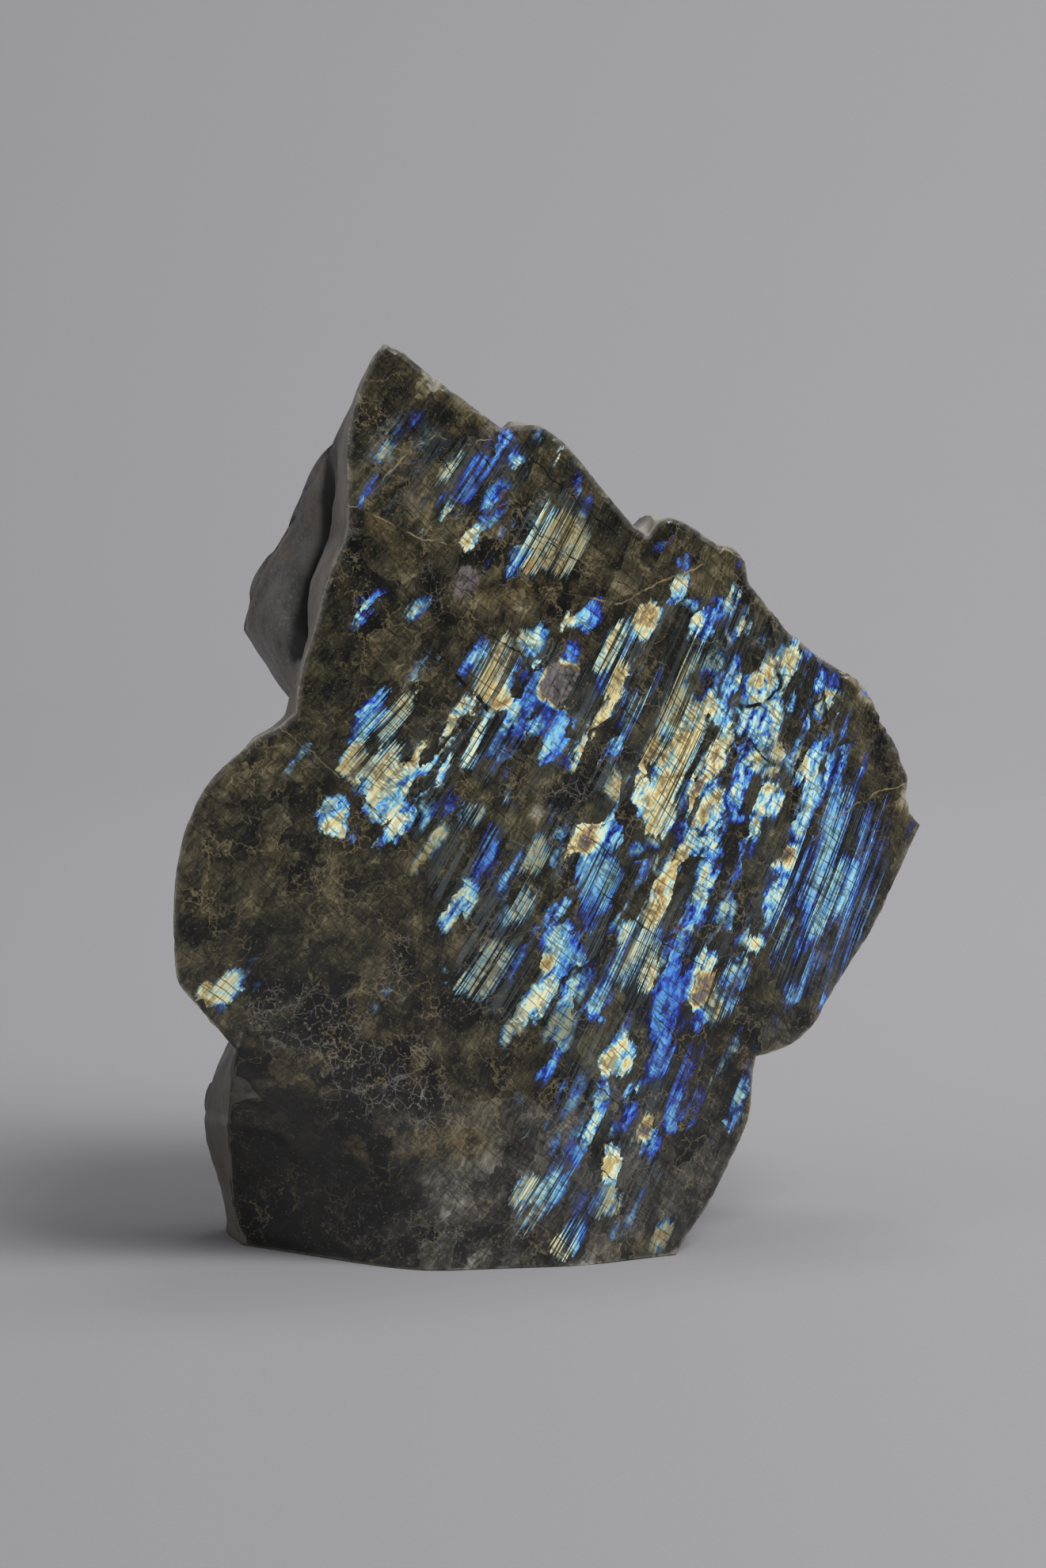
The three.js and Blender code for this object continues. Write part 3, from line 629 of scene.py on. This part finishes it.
tone_noise = product(calculated("MINIMUM", tone_noise, 0.18), blend(striping, 1, 0.7),
                     between(flash_here.outputs["X"], 1.03, 0.9),
                     blend(between(flash_here.outputs["X"], 0.15, 0.5), 0.45, 1))
tone_here = calculated("SUBTRACT", calculated("ADD", flash_here.outputs["X"], tone_noise), rim_fall)
flash_colours = add(labradorite, "ShaderNodeValToRGB", {"Fac": tone_here})
ramp = flash_colours.color_ramp
ramp.elements[0].position, ramp.elements[0].color = 0.0, linear("#10143c")
ramp.elements[1].position, ramp.elements[1].color = 1.0, linear("#847c7c")
for position, colour in ((0.1, "#1e2c8c"), (0.2, "#3a62d0"), (0.32, "#5fa8ea"), (0.43, "#96d6ec"),
                         (0.54, "#d0f0e0"), (0.65, "#faf6cc"), (0.78, "#e2d292"), (0.88, "#c8aa6c"),
                         (0.95, "#a88862")):
    ramp.elements.new(position).color = linear(colour)

# Dark cracks cross the lamellae. They run straight at uneven distances and fade in and out, and a
# net of finer ones breaks up what lies between them.
crosswise = add(labradorite, "ShaderNodeMapping", {
    "Vector": flat, "Rotation": (0, math.radians(-42), 0)}).outputs["Vector"]
crosswise_frayed = add(labradorite, "ShaderNodeVectorMath", {0: fine_bend, 1: (6, 6, 6), 2: crosswise},
                       operation="MULTIPLY_ADD").outputs["Vector"]
crack_bend = add(labradorite, "ShaderNodeVectorMath", {0: fine_bend, 1: (1.6, 1.6, 1.6), 2: crosswise},
                 operation="MULTIPLY_ADD").outputs["Vector"]
crack_bend = add(labradorite, "ShaderNodeVectorMath", {0: wide_bend, 1: (25, 25, 25), 2: crack_bend},
                 operation="MULTIPLY_ADD").outputs["Vector"]


def straight_cracks(vector, spacing, half_width, mask):
    """1 on the stone between straight cracks, and less on them."""
    across = add(labradorite, "ShaderNodeSeparateXYZ", {0: vector}).outputs["Z"]
    edge = add(labradorite, "ShaderNodeTexVoronoi", {
        "W": calculated("MULTIPLY", across, 1 / spacing), "Scale": 1},
        feature="DISTANCE_TO_EDGE", voronoi_dimensions="1D").outputs["Distance"]
    whole = between(edge, 0.3 * half_width / spacing, 1.4 * half_width / spacing)
    return calculated("MAXIMUM", whole, mask)


crack_here = noise_of(crosswise, (40, 20, 9)).outputs["Fac"]
cross_cracks = straight_cracks(crack_bend, 5, 0.36, between(crack_here, 0.52, 0.44))
net_here = noise_of(flat, (17, 17, 17)).outputs["Fac"]
net_cracks = calculated("MAXIMUM", between(cell_edge(crosswise_frayed, (12, 14, 3.4)), 0.03, 0.16),
                        between(net_here, 0.56, 0.44))
cracks = calculated("MINIMUM", cross_cracks, blend(net_cracks, 0.15, 1))

# Veins placed one by one
vein_here = add(labradorite, "ShaderNodeAttribute", attribute_name="vein")
vein_here = add(labradorite, "ShaderNodeSeparateXYZ", {0: vein_here.outputs["Vector"]})
wobble = noise_of(flat, (6, 6, 6), detail=4).outputs["Fac"]
wide_fade = noise_of(flat, (11, 11, 11)).outputs["Fac"]
vein_offset = calculated("ABSOLUTE", sum_of(vein_here.outputs["X"], (wobble, 5)))
vein = product(between(calculated("SUBTRACT", vein_offset, vein_here.outputs["Y"]), 0.2, -0.25),
               between(wide_fade, 0.36, 0.54))

# The dark body of the stone between the flashes: glassy grey and olive crystals, each with its own
# shade, with fine fibres inside, brown seams between some of them, and crackled black spots
rock = add(labradorite, "ShaderNodeAttribute", attribute_name="rock")
rock = add(labradorite, "ShaderNodeSeparateXYZ", {0: rock.outputs["Vector"]})
grain_size = (26, 30, 12)
grain = add(labradorite, "ShaderNodeTexVoronoi", {"Vector": resized(frayed, grain_size), "Scale": 1})
grain = add(labradorite, "ShaderNodeSeparateColor", {0: grain.outputs["Color"]})
grain_edge = cell_edge(frayed, grain_size)
clouds = noise_of(flat, (13, 13, 13), detail=5, roughness=0.55).outputs["Fac"]
fibres = noise_of(ragged, (14, 9, 1.1), detail=3, roughness=0.65).outputs["Fac"]
among_flashes = between(filler, -6, 1)
shade = sum_of(calculated("MULTIPLY_ADD", rock.outputs["X"], 0.9, blend(among_flashes, 0.39, 0.27)),
               (clouds, 1.3), (grain.outputs["Red"], 0.4), (fibres, 1.0))
body_shades = add(labradorite, "ShaderNodeValToRGB", {"Fac": shade})
ramp = body_shades.color_ramp
ramp.elements[0].position, ramp.elements[0].color = 0.0, linear("#0e0f0e")
ramp.elements[1].position, ramp.elements[1].color = 1.0, linear("#a39f92")
for position, colour in ((0.2, "#1e1e19"), (0.4, "#353226"), (0.6, "#4c4735"), (0.8, "#726a52")):
    ramp.elements.new(position).color = linear(colour)
body = body_shades.outputs["Color"]
browns = noise_of(flat, (30, 30, 30), detail=5).outputs["Fac"]
brownness = calculated("ADD", product(between(browns, 0.5, 0.62), 0.28),
                       product(rock.outputs["Y"], between(clouds, 0.35, 0.55), 0.8))
body = add(labradorite, "ShaderNodeMix", {"Factor": brownness, "A": body, "B": linear("#8a7650")},
           data_type="RGBA", blend_type="OVERLAY").outputs["Result"]
body = mixed(product(rock.outputs["Y"], between(clouds, 0.45, 0.6), 0.5), body, linear("#75684c"))
body = add(labradorite, "ShaderNodeHueSaturation", {
    "Color": body, "Saturation": blend(between(rock.outputs["Y"], -0.4, 0), 0.4, 1)}).outputs["Color"]
seams = product(between(grain_edge, 0.03, 0.0), between(browns, 0.45, 0.58))
body = mixed(product(seams, 0.45), body, linear("#81765c"))
veinlets = noise_of(flat, (24, 24, 24), detail=4, roughness=0.6).outputs["Fac"]
veinlets = between(calculated("ABSOLUTE", calculated("SUBTRACT", veinlets, 0.5)), 0.014, 0.0)
body = mixed(product(veinlets, between(browns, 0.42, 0.58), 0.5), body, linear("#8a7d5e"))
body = mixed(blend(cracks, 0.55, 0), body, linear("#0d0d0a"))
net_bend = add(labradorite, "ShaderNodeVectorMath", {0: fine_bend, 1: (5, 5, 5), 2: flat},
               operation="MULTIPLY_ADD").outputs["Vector"]
pale_net = calculated("MINIMUM", cell_edge(net_bend, (7, 20, 9)),
                      calculated("MULTIPLY", cell_edge(net_bend, (17, 20, 12)), 1.6))
body = mixed(product(between(pale_net, 0.035, 0.0), rock.outputs["Z"], between(clouds, 0.4, 0.56), 0.5),
             body, linear("#84817c"))
grit = noise_of(flat, (1.6, 1.6, 1.6), detail=2, roughness=0.6).outputs["Fac"]
body = mixed(product(between(grit, 0.6, 0.7), blend(rock.outputs["Z"], 0.2, 0.5)), body,
             linear("#8f8a78"))
body = mixed(vein, body, mixed(vein_here.outputs["Z"], linear("#0d0c0a"), linear("#8f8062")))

dim_sheen = product(between(filler, -5, 2), between(stripes, 0.2, 1), crystal_shade.outputs["Blue"], 0.33)
body = mixed(dim_sheen, body, linear("#68757a"))

stripe_depth = blend(striping, 0.35, 0.95)
glint = noise_of(ragged, (7, 12, 3), detail=3).outputs["Fac"]
mottle = product(between(flash_here.outputs["X"], 0.93, 1), between(shreds, 0.56, 0.44))
showing = product(between(depth, -0.4, blend(flash_here.outputs["Y"], 3.6, 0.7)),
                  flash_here.outputs["Y"], between(glint, 0.1, 0.5), blend(mottle, 1, 0.35),
                  blend(between(patch_depth, -1, 1), 0.85, 1.15),
                  calculated("MULTIPLY_ADD", calculated("SUBTRACT", stripes, 1), stripe_depth, 1),
                  blend(cracks, 0.25, 1), calculated("SUBTRACT", 1, vein))
# The flashes go into the base colour as painted reflection
polished_colour = mixed(showing, body, flash_colours.outputs["Color"])
# A pale line along the rim of the polished face: partly its worn bevel, partly a painted highlight where the
# rounded edge catches the light
rim_wear_and_highlight = product(between(zones.outputs["Z"], 1.6, 0.4), between(clouds, 0.35, 0.5))
polished_colour = mixed(product(rim_wear_and_highlight, 0.45), polished_colour, linear("#8f8b80"))

# Ground sides: the same stone with a matt grey skin, browner in clouds, with darker and paler
# streaks down it, and painted shade in the crevice
skin_streaks = noise_of(flat, (26, 26, 60), detail=6, roughness=0.62).outputs["Fac"]
skin_clouds = noise_of(flat, (28, 28, 28), detail=4, roughness=0.6).outputs["Fac"]
skin_grain = noise_of(flat, (1.8, 1.8, 1.8), detail=3).outputs["Fac"]
skin = mixed(between(skin_streaks, 0.3, 0.66), linear("#363532"), linear("#7a7875"))
skin = mixed(product(between(zones.outputs["Z"], 42, 12), 0.6), skin, linear("#9b958a"))
skin = mixed(product(between(skin_clouds, 0.48, 0.66), 0.7), skin, linear("#6b5d49"))
skin = mixed(between(skin_grain, 0.5, 0.8), skin, linear("#8a8884"))
# Darker where the rocks above are darker; on the lower left this is partly painted shade
skin = mixed(product(between(rock.outputs["X"], 0, -0.5), 0.6), skin, linear("#26251f"))
# Painted shade: near-black within a few millimetres of the crevice, where the deep narrow cut lies in shadow
skin = mixed(between(zones.outputs["Y"], 0.02, 0.25), skin, linear("#0f0e0c"))
ground = add(labradorite, "ShaderNodeAttribute", attribute_name="ground").outputs["Fac"]
ground_share = between(ground, 0.44, 0.56)
worn = calculated("MAXIMUM", ground_share, between(zones.outputs["Z"], 4, 1))
roughness = blend(worn, 0.16, 0.62)
surface = add(labradorite, "ShaderNodeBsdfPrincipled", {
    "Base Color": mixed(ground_share, polished_colour, skin), "Roughness": roughness, "IOR": 1.56})
add(labradorite, "ShaderNodeOutputMaterial", {"Surface": surface.outputs["BSDF"]})
stone.data.materials.clear()
stone.data.materials.append(labradorite)
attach(stone, "root")
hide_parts("labradorite_stone")
